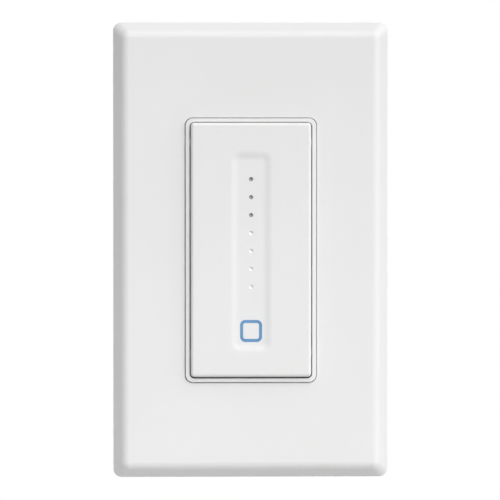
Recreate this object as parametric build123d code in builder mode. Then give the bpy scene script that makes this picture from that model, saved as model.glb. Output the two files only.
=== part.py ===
"""A flush-mounted smart dimmer switch with its screwless wall plate.

The wall is the plane Y = 0 and the front faces -Y. X points right and Z up, and the origin is
the centre of the plate on the wall. All sizes are in millimetres. A level is a distance in
front of the wall, so what stands inside the wall box has a negative level.
"""
import math
import os

from build123d import *

os.makedirs("parts", exist_ok=True)

# Opening of the wall plate, and what lies above and below it
opening_height = 66.5
opening_width = 33.1
opening_corner_radius = 2.0
opening_edge_round = 0.15
opening_to_box_screw = 8.42
box_screw_to_plate_screw = 6.75
plate_screw_to_end = 8.73

# Wall plate
plate_width = 69.0
plate_depth = 6.4
plate_wall = 1.8
plate_corner_radius = 2.1
plate_face_corner_radius = 1.7
plate_edge_round = 0.4
bevel_run = 2.7
bevel_rise = 3.2
bevel_soft_radius = 2.5
collar_wall = 1.6

# Screws of the yoke
screw_radius = 1.753
tapped_clearance = 0.05
plate_screw_length = 9.0
flat_head_radius = 2.8
flat_head_height = 1.5
slot_width = 0.9
slot_depth = 0.7
box_screw_length = 19.0
box_head_radius = 3.2
box_head_height = 1.9
neck_radius = 1.5
retainer_thickness = 0.3
thread_gap = 0.15
retainer_size = 8.0

# Yoke
yoke_thickness = 1.2
yoke_end_gap = 4.75
yoke_neck_width = 22.0
yoke_wing_width = 43.0
yoke_wing_overlap = 2.0
yoke_ear_width = 36.0
yoke_ear_height = 9.6
yoke_corner_radius = 2.0
yoke_opening_width = 20.0
yoke_opening_margin = 8.75
box_slot_length = 6.6
ear_hole_radius = 1.6
ear_hole_offset = 13.0
ground_tab_width = 10.0
ground_tab_length = 9.0
ground_tab_inset = 11.0

# Backer under the wall plate
backer_thickness = 1.6
backer_rim = 1.2
backer_gap = 0.5
head_hole_radius = 3.5
clip_thickness = 1.4
clip_width = 6.0
clip_barb = 0.5
clip_gap = 0.25
clip_side_inset = 3.4
clip_end_inset = 16.0

# Front frame
frame_depth = 7.0
frame_gap = 0.15
frame_side_wall = 1.03
frame_end_wall = 0.95
frame_corner_radius = 1.9
frame_inner_radius = 1.2
frame_floor = 1.4
frame_window_width = 13.0
frame_window_height = 30.0
boss_length = 3.2
boss_radius = 2.0
boss_side_inset = 3.1
boss_end_inset = 4.0

# Press panel
panel_depth = 8.2
panel_side_gap = 0.26
panel_top_gap = 0.15
panel_bottom_gap = 0.4
panel_corner_radius = 0.9
panel_edge_round = 0.8
panel_wall = 1.4
panel_skirt_wall = 1.0
panel_skirt_level = 3.7
channel_width = 10.65
channel_top_margin = 7.05
channel_bottom_margin = 6.1
channel_depth = 0.35
channel_slope = 2.3
channel_corner_radius = 2.7
channel_floor_radius = 0.45
channel_steps = 8
rib_x = 9.5
rib_width = 0.8
rib_height = 0.9

# Press hinge and stop
hinge_inset = 5.0
hinge_level = 4.9
hinge_pin_radius = 1.0
hinge_clearance = 0.06
press_angle = 0.8
stop_inset = 5.75
stop_level = 4.6
stop_pin_radius = 0.8
stop_clearance = 0.05
pin_reach = 0.6

# Row of lights and square ring
dot_radius = 0.5
dot_count = 7
dot_inset = 7.1
dot_to_ring = 11.05
dot_recess = 0.4
dot_clearance = 0.03
ring_inset = 5.45
ring_size = 5.5
ring_line = 0.75
ring_corner_radius = 1.3
ring_depth = 0.5
ring_clearance = 0.03
film_thickness = 0.2
film_width = 9.4
film_margin = 3.4
pipe_web = 0.8
pipe_width = 5.0
pipe_margin = 1.6
pipe_stub_radius = 0.9
pipe_stub_length = 0.7

# Light board
board_thickness = 1.0
light_board_side_gap = 2.07
light_board_end_gap = 3.65
led_width = 1.6
led_length = 2.4
led_height = 0.6
ring_led_spread = 4.6
tact_size = 6.2
tact_height = 1.6
plunger_radius = 1.6
plunger_clearance = 0.05
plunger_length = 1.4
plunger_lift = 0.8
press_gap = 0.1
board_screw_radius = 1.0
board_screw_head = 1.8
board_screw_head_height = 0.8
board_screw_x = 7.3
board_screw_inset = 2.2
board_boss_radius = 1.9
board_boss_length = 3.0

# Rear housing
housing_side_gap = 0.3
housing_end_gap = 0.25
housing_depth = 36.0
housing_wall = 1.8
housing_corner_radius = 2.5
housing_edge_chamfer = 1.6
column_radius = 3.4
housing_screw_radius = 1.25
housing_screw_head = 2.2
housing_screw_head_height = 1.6
housing_screw_level = -10.0
counterbore_clearance = 0.3
label_width = 15.0
label_margin = 11.5
label_depth = 0.4
gauge_length = 12.0
gauge_width = 1.8
gauge_depth = 0.7
gauge_inset = 5.5
release_width = 1.2
release_height = 3.2
release_offset = 4.3
release_depth = 1.0

# Terminals
terminal_z = 9.0
terminal_inset = 6.2
wire_radius = 1.75
wire_funnel = 0.8
clamp_bore_radius = 2.3
clamp_width = 7.2
clamp_height = 7.0
clamp_length = 11.2
clamp_gap = 0.2
bay_wall = 1.2
terminal_screw_head = 3.4
terminal_screw_head_height = 1.5
terminal_window_gap = 0.4
solder_pin = 1.0
ground_head_radius = 3.6
ground_head_height = 2.0
recess_depth = 4.0

# Electronics
insulator_thickness = 0.4
control_board_side_gap = 0.7
control_board_gap = 2.0
control_board_level = -3.6
shield_side_gap = 2.0
shield_length = 18.0
shield_height = 2.3
shield_z = -6.0
header_z = 11.0
header_width = 10.4
header_thickness = 2.5
header_pins = 4
header_pitch = 2.54
header_pin = 0.32
power_board_thickness = 1.6
power_board_level = -20.0
power_board_side_gap = 2.2
power_board_gap = 8.0
power_header_inset = 6.5
transistor_width = 9.2
transistor_height = 9.0
transistor_depth = 4.4
transistor_tab = 1.3
transistor_tab_height = 15.0
transistor_gap = 0.5
transistor_z = 8.0
leg_width = 0.8
leg_level = -3.0
choke_radius = 7.0
choke_hole_radius = 2.4
choke_height = 6.0
choke_chamfer = 1.2
choke_to_header = 11.5
transformer_gap = 2.5
transformer_depth = 10.5
transformer_inset = 11.5
bobbin_flange = 1.0
can_gap = 1.75
can_height = 11.0
can_z = 0.5
film_capacitor_gap = 2.5
film_capacitor_thickness = 6.5
film_capacitor_depth = 10.0
film_capacitor_z = -9.5
varistor_radius = 4.2
varistor_thickness = 3.4
small_part_inset = 7.7
small_part_z = -13.0
lead_radius = 0.35
fuse_radius = 4.2
fuse_height = 8.0

# Levels that follow from the sizes above
backer_level = yoke_thickness + backer_thickness
floor_level = yoke_thickness + frame_floor
board_level = floor_level + board_thickness
panel_back_level = panel_depth - panel_wall
channel_level = panel_depth - channel_depth
film_level = panel_back_level - film_thickness
pipe_level = film_level - pipe_web
boss_level = yoke_thickness - boss_length
plunger_level = board_level + tact_height + plunger_lift
button_level = plunger_level + press_gap
power_back_level = power_board_level - power_board_thickness
clamp_level = power_back_level - clamp_gap
thread_level = -retainer_thickness - thread_gap

# Screw rows, counted outwards from the opening
box_screw_pitch = opening_height + 2 * opening_to_box_screw
plate_screw_pitch = box_screw_pitch + 2 * box_screw_to_plate_screw
plate_height = plate_screw_pitch + 2 * plate_screw_to_end

# Widths and places that follow
frame_width = opening_width - 2 * frame_gap
frame_height = opening_height - 2 * frame_gap
frame_inner_width = frame_width - 2 * frame_side_wall
frame_inner_height = frame_height - 2 * frame_end_wall
panel_width = frame_inner_width - 2 * panel_side_gap
panel_height = frame_inner_height - panel_top_gap - panel_bottom_gap
panel_z = (panel_bottom_gap - panel_top_gap) / 2
hinge_z = panel_z + panel_height / 2 - hinge_inset
stop_z = panel_z - panel_height / 2 + stop_inset
channel_height = panel_height - channel_top_margin - channel_bottom_margin
channel_z = panel_z + (channel_bottom_margin - channel_top_margin) / 2
ring_z = channel_z - channel_height / 2 + ring_inset
dot_top_z = channel_z + channel_height / 2 - dot_inset
dot_pitch = (dot_top_z - ring_z - dot_to_ring) / (dot_count - 1)
dot_places = [dot_top_z - dot_pitch * i for i in range(dot_count)]
light_board_width = frame_inner_width - 2 * light_board_side_gap
light_board_height = frame_inner_height - 2 * light_board_end_gap
housing_height = opening_height - 2 * housing_end_gap
housing_width = yoke_wing_width - 2 * housing_side_gap
yoke_height = plate_height - 2 * yoke_end_gap
yoke_wing_height = housing_height + 2 * yoke_wing_overlap
yoke_opening_height = opening_height - 2 * yoke_opening_margin
boss_x = frame_width / 2 - boss_side_inset
boss_z = housing_height / 2 - boss_end_inset
ground_tab_z = ground_tab_inset - housing_height / 2
board_screw_places = [(0.0, yoke_opening_height / 2 - board_screw_inset),
                      (-board_screw_x, ring_z), (board_screw_x, ring_z)]
control_board_height = yoke_opening_height - 2 * control_board_gap
power_board_height = housing_height - 2 * power_board_gap
power_board_width = housing_width - 2 * power_board_side_gap
transformer_z = power_board_height / 2 - transformer_inset
power_header_z = power_header_inset - control_board_height / 2
choke_z = power_header_z + choke_to_header
bevel_angle = math.atan2(bevel_rise, bevel_run)
cavity_level = plate_depth - plate_wall
cavity_shoulder = (plate_depth - bevel_rise + plate_wall * math.tan(bevel_angle)
                   - plate_wall / math.cos(bevel_angle))
cavity_run = (cavity_level - cavity_shoulder) / math.tan(bevel_angle)
backer_inset = (plate_wall + backer_gap
                + (backer_level - cavity_shoulder) / math.tan(bevel_angle))
backer_width = plate_width - 2 * backer_inset
backer_height = plate_height - 2 * backer_inset
clip_x = backer_width / 2 - clip_side_inset - clip_thickness
clip_z = backer_height / 2 - clip_end_inset
clip_places = (-clip_z, 0.0, clip_z)
boss_places = [(x, z) for x in (-boss_x, boss_x) for z in (-boss_z, boss_z)]
terminal_x = housing_width / 2 - terminal_inset
terminal_places = [(x, z) for x in (-terminal_x, terminal_x) for z in (-terminal_z, terminal_z)]
housing_side = housing_width / 2
transistor_x = housing_side - housing_wall - transistor_gap - transistor_width / 2
control_board_width = 2 * transistor_x - transistor_width - 2 * control_board_side_gap
shield_width = control_board_width - 2 * shield_side_gap
bay_inner = terminal_x - clamp_width / 2 - clamp_gap - bay_wall
clamp_side = terminal_x + clamp_width / 2
transformer_size = 2 * (bay_inner - transformer_gap - bobbin_flange)
film_capacitor_width = 2 * (bay_inner - film_capacitor_gap)
can_radius = (bay_inner - can_gap - clip_gap) / 2
small_part_x = housing_side - small_part_inset


def level(distance):
    """The plane this far in front of the wall, seen from the front."""
    return Plane.XZ.offset(distance)


def rounded(distance, width, height, radius, x=0, z=0):
    """A rounded rectangle at a level."""
    with BuildSketch(level(distance)) as outline:
        with Locations((x, z)):
            RectangleRounded(width, height, radius)
    return outline.sketch


def rectangle(distance, width, height, x=0, z=0):
    """A plain rectangle at a level."""
    with BuildSketch(level(distance)) as outline:
        with Locations((x, z)):
            Rectangle(width, height)
    return outline.sketch


def channel_outline(share):
    """The channel's outline where this share of its depth is reached, on an S-shaped wall."""
    inward = 0.5 - math.sin(math.asin(1 - 2 * share) / 3)
    return rounded(panel_depth - share * channel_depth,
                   channel_width - 2 * channel_slope * inward,
                   channel_height - 2 * channel_slope * inward,
                   channel_corner_radius
                   + (channel_floor_radius - channel_corner_radius) * inward, z=channel_z)


def discs(distance, radius, places):
    """Circles at a level, one at each (x, z)."""
    with BuildSketch(level(distance)) as outline:
        with Locations(*places):
            Circle(radius)
    return outline.sketch


def finish(piece, name):
    """Name a finished piece and write it."""
    piece.label = name
    export_step(piece, f"parts/{name}.step")


channel_outlines = [channel_outline(i / channel_steps) for i in range(channel_steps + 1)]

# Wall plate: a thin cover with a bevelled edge, a collar round its opening and six clips
with BuildPart() as wall_plate:
    bevel_level = plate_depth - bevel_rise
    extrude(rounded(0, plate_width, plate_height, plate_corner_radius), amount=bevel_level)
    loft([rounded(bevel_level, plate_width, plate_height, plate_corner_radius),
          rounded(plate_depth, plate_width - 2 * bevel_run, plate_height - 2 * bevel_run,
                  plate_face_corner_radius)], ruled=True)
    front = wall_plate.faces().sort_by(Axis.Y)[0]
    fillet(front.edges(), bevel_soft_radius)
    outer_edges = wall_plate.edges().filter_by_position(Axis.Y, -bevel_level - clip_gap,
                                                        clip_gap - bevel_level)
    fillet(outer_edges, plate_edge_round)
    inside_width = plate_width - 2 * plate_wall
    inside_height = plate_height - 2 * plate_wall
    inside_radius = plate_corner_radius / 2
    extrude(rounded(0, inside_width, inside_height, inside_radius),
            amount=cavity_shoulder, mode=Mode.SUBTRACT)
    loft([rounded(cavity_shoulder, inside_width, inside_height, inside_radius),
          rounded(cavity_level, inside_width - 2 * cavity_run, inside_height - 2 * cavity_run,
                  inside_radius)], ruled=True, mode=Mode.SUBTRACT)
    collar_level = backer_level + backer_gap
    extrude(rounded(collar_level, opening_width + 2 * collar_wall,
                    opening_height + 2 * collar_wall, opening_corner_radius + collar_wall),
            amount=cavity_level - collar_level)
    extrude(rounded(0, opening_width, opening_height, opening_corner_radius),
            amount=plate_depth, mode=Mode.SUBTRACT)
    face_edges = wall_plate.faces().sort_by(Axis.Y)[0].inner_wires()[0].edges()
    fillet(face_edges, opening_edge_round)
    for z in clip_places:
        with BuildSketch(Plane.XY.offset(z - clip_width / 2)):
            with BuildLine():
                Polyline((clip_x, -cavity_level), (clip_x, -clip_gap),
                         (clip_x + clip_thickness, -clip_gap),
                         (clip_x + clip_thickness + clip_barb, clip_gap - yoke_thickness),
                         (clip_x + clip_thickness, clip_gap - yoke_thickness),
                         (clip_x + clip_thickness, -cavity_level), close=True)
            make_face()
            mirror(about=Plane.YZ)
        extrude(amount=clip_width)

# Backer: a shallow tray that rests on the wall and on the yoke
with BuildPart() as plate_backer:
    extrude(rounded(0, backer_width, backer_height, plate_corner_radius), amount=backer_level)
    extrude(rounded(0, backer_width - 2 * backer_rim, backer_height - 2 * backer_rim,
                    plate_corner_radius - backer_rim / 2),
            amount=yoke_thickness, mode=Mode.SUBTRACT)
    extrude(rounded(0, opening_width + backer_gap, opening_height + backer_gap,
                    opening_corner_radius), amount=backer_level, mode=Mode.SUBTRACT)
    box_head_places = [(0, -box_screw_pitch / 2), (0, box_screw_pitch / 2)]
    extrude(discs(0, head_hole_radius, box_head_places), amount=backer_level,
            mode=Mode.SUBTRACT)
    with BuildSketch(level(0)):
        with GridLocations(2 * clip_x + clip_thickness, clip_z, 2, 3):
            Rectangle(clip_thickness + 2 * clip_gap, clip_width + 2 * clip_gap)
    extrude(amount=backer_level, mode=Mode.SUBTRACT)
    with Locations(*[level(backer_level) * Location((0, z)) for z in
                     (-plate_screw_pitch / 2, plate_screw_pitch / 2)]):
        CounterSinkHole(radius=screw_radius + backer_gap,
                        counter_sink_radius=flat_head_radius + backer_gap / 2,
                        depth=backer_level)

# Plate screws: flat heads flush with the backer
with BuildPart() as plate_screws:
    with BuildSketch(Plane.YZ):
        with BuildLine():
            Polyline((-backer_level, 0), (-backer_level, flat_head_radius),
                     (flat_head_height - backer_level, screw_radius),
                     (plate_screw_length - backer_level, screw_radius),
                     (plate_screw_length - backer_level, 0), close=True)
        make_face()
    revolve(axis=Axis.Y)
    extrude(rectangle(backer_level - slot_depth, 5 * screw_radius, slot_width),
            amount=slot_depth, mode=Mode.SUBTRACT)
plate_screw_pair = [plate_screws.part.moved(Location((0, 0, z)))
                    for z in (-plate_screw_pitch / 2, plate_screw_pitch / 2)]

# Yoke: the steel strap, with slots for the box screws and a tab bent back for the ground screw
with BuildPart() as yoke:
    with BuildSketch(level(0)) as strap:
        Rectangle(yoke_neck_width, yoke_height)
        Rectangle(yoke_wing_width, yoke_wing_height)
        with GridLocations(0, yoke_height - yoke_ear_height, 1, 2):
            Rectangle(yoke_ear_width, yoke_ear_height)
        fillet(strap.vertices(), yoke_corner_radius)
        RectangleRounded(yoke_opening_width, yoke_opening_height, yoke_corner_radius,
                         mode=Mode.SUBTRACT)
        with GridLocations(0, box_screw_pitch, 1, 2):
            SlotOverall(box_slot_length, 2 * screw_radius + backer_gap, mode=Mode.SUBTRACT)
        with GridLocations(0, plate_screw_pitch, 1, 2):
            Circle(screw_radius + tapped_clearance, mode=Mode.SUBTRACT)
        with GridLocations(2 * ear_hole_offset, plate_screw_pitch, 2, 2):
            Circle(ear_hole_radius, mode=Mode.SUBTRACT)
        with Locations(*boss_places):
            Circle(boss_radius + clip_gap, mode=Mode.SUBTRACT)
    extrude(amount=yoke_thickness)
    tab_x = -yoke_wing_width / 2
    with BuildSketch(Plane.XY.offset(ground_tab_z - ground_tab_width / 2)):
        with BuildLine():
            Polyline((tab_x, -yoke_thickness), (tab_x, ground_tab_length),
                     (tab_x - yoke_thickness, ground_tab_length),
                     (tab_x - yoke_thickness, 0))
            RadiusArc((tab_x - yoke_thickness, 0), (tab_x, -yoke_thickness), yoke_thickness)
        make_face()
    extrude(amount=ground_tab_width)
    ground_y = ground_tab_length / 2 + yoke_thickness / 2
    with Locations(Plane(origin=(tab_x - yoke_thickness, ground_y, ground_tab_z),
                         z_dir=(-1, 0, 0))):
        Hole(screw_radius + tapped_clearance, depth=2 * yoke_thickness)

# Box screws: round heads before the yoke, a thinner neck through it and a thread behind it
with BuildPart() as box_screws:
    with BuildSketch(Plane.YZ):
        with BuildLine():
            Polyline((-yoke_thickness - box_head_height, 0), (-yoke_thickness, 0),
                     (-yoke_thickness, box_head_radius))
            RadiusArc((-yoke_thickness, box_head_radius),
                      (-yoke_thickness - box_head_height, 0), -2.2 * box_head_height)
        make_face()
        with BuildLine():
            Polyline((-yoke_thickness, 0), (-yoke_thickness, neck_radius),
                     (-thread_level, neck_radius), (-thread_level, screw_radius),
                     (box_screw_length, screw_radius), (box_screw_length + neck_radius, neck_radius / 2),
                     (box_screw_length + neck_radius, 0), close=True)
        make_face()
    revolve(axis=Axis.Y)
    extrude(rectangle(yoke_thickness + box_head_height - slot_depth, 3 * box_head_radius,
                      slot_width), amount=2 * slot_depth, mode=Mode.SUBTRACT)
box_screw_pair = [box_screws.part.moved(Location((0, 0, z)))
                  for z in (-box_screw_pitch / 2, box_screw_pitch / 2)]

# Retainers: fibre washers that keep the box screws in the yoke
with BuildPart() as screw_retainers:
    with BuildSketch(level(0)):
        with GridLocations(0, box_screw_pitch, 1, 2):
            RectangleRounded(retainer_size, retainer_size, yoke_corner_radius)
            Circle(neck_radius + tapped_clearance, mode=Mode.SUBTRACT)
    extrude(amount=-retainer_thickness)

# Front frame: a moulded tray with screw bosses behind and hinge sockets in its sides
with BuildPart() as front_frame:
    extrude(rounded(yoke_thickness, frame_width, frame_height, frame_corner_radius),
            amount=frame_depth - yoke_thickness)
    extrude(rounded(floor_level, frame_inner_width, frame_inner_height, frame_inner_radius),
            amount=frame_depth - floor_level, mode=Mode.SUBTRACT)
    fillet(front_frame.faces().sort_by(Axis.Y)[0].edges(), frame_gap)
    extrude(rounded(yoke_thickness, frame_window_width, frame_window_height,
                    frame_inner_radius), amount=frame_floor, mode=Mode.SUBTRACT)
    extrude(discs(boss_level, boss_radius, boss_places), amount=boss_length)
    extrude(discs(boss_level, housing_screw_radius + tapped_clearance, boss_places),
            amount=boss_length + frame_floor / 2, mode=Mode.SUBTRACT)
    board_boss_level = yoke_thickness - board_boss_length
    extrude(discs(board_boss_level, board_boss_radius, board_screw_places),
            amount=board_boss_length)
    extrude(discs(board_boss_level, board_screw_radius + tapped_clearance,
                  board_screw_places), amount=board_boss_length + frame_floor,
            mode=Mode.SUBTRACT)
    stop_travel = (hinge_z - stop_z) * math.tan(math.radians(press_angle))
    stop_slot_radius = stop_pin_radius + stop_clearance
    with BuildSketch(Plane.YZ.offset(-frame_width)):
        with Locations((-hinge_level, hinge_z)):
            Circle(hinge_pin_radius + hinge_clearance)
        with Locations((-stop_level + stop_travel / 2, stop_z)):
            SlotOverall(2 * stop_slot_radius + stop_travel + stop_clearance,
                        2 * stop_slot_radius)
    extrude(amount=2 * frame_width, mode=Mode.SUBTRACT)

# Press panel: a thin cap with a recessed channel, seven light holes and a square groove
with BuildPart() as touch_panel:
    extrude(rounded(panel_skirt_level, panel_width, panel_height, panel_corner_radius,
                    z=panel_z), amount=panel_depth - panel_skirt_level)
    fillet(touch_panel.faces().sort_by(Axis.Y)[0].edges(), panel_edge_round)
    extrude(rectangle(panel_skirt_level, panel_width - 2 * panel_skirt_wall,
                      panel_height - 2 * panel_skirt_wall, z=panel_z),
            amount=panel_back_level - panel_skirt_level, mode=Mode.SUBTRACT)
    for outer, inner in zip(channel_outlines, channel_outlines[1:]):
        loft([outer, inner], ruled=True, mode=Mode.SUBTRACT)
    extrude(discs(panel_back_level, dot_radius + dot_clearance, [(0, z) for z in dot_places]),
            amount=panel_wall, mode=Mode.SUBTRACT)
    with BuildSketch(level(channel_level - ring_depth)):
        with Locations((0, ring_z)):
            RectangleRounded(ring_size + 2 * ring_clearance, ring_size + 2 * ring_clearance,
                             ring_corner_radius)
            RectangleRounded(ring_size - 2 * ring_line - 2 * ring_clearance,
                             ring_size - 2 * ring_line - 2 * ring_clearance,
                             ring_corner_radius - ring_line, mode=Mode.SUBTRACT)
    extrude(amount=ring_depth, mode=Mode.SUBTRACT)
    extrude(discs(button_level, plunger_radius, [(0, ring_z)]),
            amount=panel_back_level - button_level)
    for x in (-rib_x, rib_x):
        extrude(rectangle(panel_back_level - rib_height, rib_width,
                          panel_height - 2 * panel_skirt_wall, x, panel_z), amount=rib_height)
    with BuildSketch(Plane.YZ.offset(panel_width / 2 - panel_skirt_wall / 2)):
        with Locations((-hinge_level, hinge_z)):
            Circle(hinge_pin_radius)
        with Locations((-stop_level, stop_z)):
            Circle(stop_pin_radius)
    extrude(amount=panel_skirt_wall / 2 + panel_side_gap + pin_reach)
    mirror(about=Plane.YZ)

# Square ring: a clear blue-lit moulding pressed into the groove
with BuildPart() as ring_lens:
    with BuildSketch(level(channel_level - ring_depth)):
        with Locations((0, ring_z)):
            RectangleRounded(ring_size, ring_size, ring_corner_radius)
            RectangleRounded(ring_size - 2 * ring_line, ring_size - 2 * ring_line,
                             ring_corner_radius - ring_line, mode=Mode.SUBTRACT)
    extrude(amount=ring_depth)

# Touch film: bonded behind the channel, pierced for the light pins and the button
film_top = dot_places[0] + film_margin
film_bottom = ring_z - film_margin
with BuildPart() as touch_film:
    extrude(rectangle(film_level, film_width, film_top - film_bottom,
                      z=(film_top + film_bottom) / 2), amount=film_thickness)
    extrude(discs(film_level, dot_radius + 2 * dot_clearance, [(0, z) for z in dot_places]),
            amount=film_thickness, mode=Mode.SUBTRACT)
    extrude(discs(film_level, plunger_radius + clip_gap, [(0, ring_z)]),
            amount=film_thickness, mode=Mode.SUBTRACT)

# Light pipe: seven pins on one web, each facing its own light
pipe_top = dot_places[0] + pipe_margin
pipe_bottom = dot_places[-1] - pipe_margin
with BuildPart() as light_pipe:
    extrude(rounded(pipe_level, pipe_width, pipe_top - pipe_bottom, pipe_margin,
                    z=(pipe_top + pipe_bottom) / 2), amount=pipe_web)
    extrude(discs(film_level, dot_radius, [(0, z) for z in dot_places]),
            amount=channel_level - dot_recess - film_level)
    extrude(discs(pipe_level - pipe_stub_length, pipe_stub_radius, [(0, z) for z in dot_places]),
            amount=pipe_stub_length)

# Light board and what is soldered on it
header_places = [(header_pitch * (i - (header_pins - 1) / 2), header_z)
                 for i in range(header_pins)]
with BuildPart() as led_board:
    extrude(rounded(floor_level, light_board_width, light_board_height, frame_inner_radius,
                    z=panel_z), amount=board_thickness)
    extrude(discs(floor_level, board_screw_radius + 2 * tapped_clearance, board_screw_places),
            amount=board_thickness, mode=Mode.SUBTRACT)
    extrude(discs(floor_level, header_pin + 2 * tapped_clearance, header_places),
            amount=board_thickness, mode=Mode.SUBTRACT)
with BuildPart() as dimmer_leds:
    for z in dot_places:
        extrude(rectangle(board_level, led_length, led_width, z=z), amount=led_height)
ring_led_places = [(x, ring_z + z) for x in (-ring_led_spread, ring_led_spread)
                   for z in (-led_length, led_length)]
with BuildPart() as ring_leds:
    for x, z in ring_led_places:
        extrude(rectangle(board_level, led_width, led_length, x, z), amount=led_height)

# Push switch under the square ring, with its sliding plunger
plunger_pit = plunger_length - plunger_lift + (hinge_z - ring_z) * math.radians(press_angle)
with BuildPart() as tact_switch:
    extrude(rounded(board_level, tact_size, tact_size, clip_gap, z=ring_z),
            amount=tact_height)
    extrude(discs(board_level + tact_height - plunger_pit - press_gap,
                  plunger_radius + plunger_clearance, [(0, ring_z)]),
            amount=plunger_pit + press_gap, mode=Mode.SUBTRACT)
with BuildPart() as switch_plunger:
    extrude(discs(plunger_level - plunger_length, plunger_radius, [(0, ring_z)]),
            amount=plunger_length)

# Screws that hold the light board in the frame
with BuildPart() as board_screws:
    extrude(discs(board_level, board_screw_head, board_screw_places),
            amount=board_screw_head_height)
    extrude(discs(board_boss_level + slot_depth, board_screw_radius, board_screw_places),
            amount=board_level - board_boss_level - slot_depth)
    for x, z in board_screw_places:
        extrude(rectangle(board_level + board_screw_head_height / 2, 3 * board_screw_head,
                          slot_width / 2, x, z), amount=board_screw_head_height,
                mode=Mode.SUBTRACT)

# Header between the two boards: a plastic bar with four pins
control_front = control_board_level
with BuildPart() as board_header:
    extrude(rectangle(control_front, header_width, header_thickness, z=header_z),
            amount=floor_level - control_front)
    extrude(discs(control_front - board_thickness, header_pin, header_places),
            amount=board_level + board_thickness - control_front)

# Control board with the radio's metal shield on its front
power_header_places = [(x, power_header_z) for x, _ in header_places]
with BuildPart() as control_board:
    extrude(rounded(control_front - board_thickness, control_board_width,
                    control_board_height, frame_inner_radius), amount=board_thickness)
    extrude(discs(control_front - board_thickness, header_pin + 2 * tapped_clearance,
                  header_places + power_header_places), amount=board_thickness,
            mode=Mode.SUBTRACT)
with BuildPart() as radio_shield:
    extrude(rounded(control_front, shield_width, shield_length, clip_gap, z=shield_z),
            amount=shield_height)
    chamfer(radio_shield.faces().sort_by(Axis.Y)[0].edges(), clip_gap)

# Header between the control board and the power board
with BuildPart() as power_header:
    extrude(rectangle(power_board_level, header_width, header_thickness, z=power_header_z),
            amount=header_thickness)
    extrude(discs(power_back_level, header_pin, power_header_places),
            amount=control_front - power_back_level)

# Insulating sheet behind the yoke
with BuildPart() as insulator:
    extrude(rounded(-insulator_thickness, housing_width - 2 * housing_wall - 2 * clip_gap,
                    housing_height - 2 * housing_wall - 2 * clip_gap, frame_inner_radius),
            amount=insulator_thickness)
    extrude(rounded(-insulator_thickness, yoke_opening_width, yoke_opening_height,
                    yoke_corner_radius), amount=insulator_thickness, mode=Mode.SUBTRACT)
    extrude(discs(-insulator_thickness, boss_radius + clip_gap, boss_places),
            amount=insulator_thickness, mode=Mode.SUBTRACT)
    extrude(rectangle(-insulator_thickness, 2 * ground_tab_width, ground_tab_width,
                      -housing_side, ground_tab_z), amount=insulator_thickness,
            mode=Mode.SUBTRACT)

# Power transistors: their tabs lie on the insulator, so that the yoke cools them
with BuildPart() as power_transistors:
    tab_level = -insulator_thickness - transistor_tab
    for x in (-transistor_x, transistor_x):
        extrude(rectangle(tab_level, transistor_width, transistor_tab_height, x,
                          transistor_z), amount=transistor_tab)
        extrude(discs(tab_level, ear_hole_radius, [(x, transistor_z + transistor_tab_height / 3)]),
                amount=transistor_tab, mode=Mode.SUBTRACT)
        body_z = transistor_z - (transistor_tab_height - transistor_height) / 2
        extrude(rectangle(-insulator_thickness - transistor_depth, transistor_width,
                          transistor_height, x, body_z), amount=transistor_depth)
        leg_z = body_z - transistor_height / 2
        for step in (-1, 0, 1):
            leg_x = x + step * header_pitch
            extrude(rectangle(leg_level - leg_width, leg_width, 2 * leg_width, leg_x, leg_z),
                    amount=leg_width)
            extrude(rectangle(power_back_level, leg_width, leg_width, leg_x,
                              leg_z - leg_width), amount=leg_level - power_back_level)

# Power board, pierced for every leg and pin
with BuildPart() as power_board:
    extrude(rounded(power_back_level, power_board_width, power_board_height,
                    frame_inner_radius), amount=power_board_thickness)
    leg_places = [(side * transistor_x + step * header_pitch, leg_z - leg_width)
                  for side in (-1, 1) for step in (-1, 0, 1)]
    for x, z in leg_places:
        extrude(rectangle(power_back_level, 2 * leg_width, 2 * leg_width, x, z),
                amount=power_board_thickness, mode=Mode.SUBTRACT)
    extrude(discs(power_back_level, header_pin + 2 * tapped_clearance, power_header_places),
            amount=power_board_thickness, mode=Mode.SUBTRACT)
    for x, z in terminal_places:
        extrude(rectangle(power_back_level, 2 * solder_pin, 2 * solder_pin, x, z),
                amount=power_board_thickness, mode=Mode.SUBTRACT)

# Filter choke: a wound ring lying on the power board
with BuildPart() as filter_choke:
    with BuildSketch(level(power_board_level)):
        with Locations((0, choke_z)):
            Circle(choke_radius)
            Circle(choke_hole_radius, mode=Mode.SUBTRACT)
    extrude(amount=choke_height)
    chamfer(filter_choke.edges().filter_by(GeomType.CIRCLE), choke_chamfer)

# Transformer: a bobbin between two ferrite blocks
with BuildPart() as transformer:
    extrude(rectangle(power_back_level - transformer_depth, transformer_size,
                      transformer_size - 2 * bobbin_flange, z=transformer_z),
            amount=transformer_depth)
    for side in (-1, 1):
        extrude(rectangle(power_back_level - transformer_depth + bobbin_flange,
                          transformer_size + 2 * bobbin_flange, 2 * bobbin_flange,
                          z=transformer_z + side * (transformer_size / 2 - bobbin_flange)),
                amount=transformer_depth - bobbin_flange)

# Smoothing capacitors: two cans standing on the back of the power board
with BuildPart() as electrolytic_capacitors:
    extrude(discs(power_back_level - can_height, can_radius,
                  [(-can_radius - clip_gap, can_z), (can_radius + clip_gap, can_z)]),
            amount=can_height)
    chamfer(electrolytic_capacitors.faces().group_by(Axis.Y)[-1].edges(), clip_gap)

# Film capacitor
with BuildPart() as film_capacitor:
    extrude(rounded(power_back_level - film_capacitor_depth, film_capacitor_width,
                    film_capacitor_thickness, clip_gap, z=film_capacitor_z),
            amount=film_capacitor_depth)
    chamfer(film_capacitor.faces().sort_by(Axis.Y)[-1].edges(), clip_gap)

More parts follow.
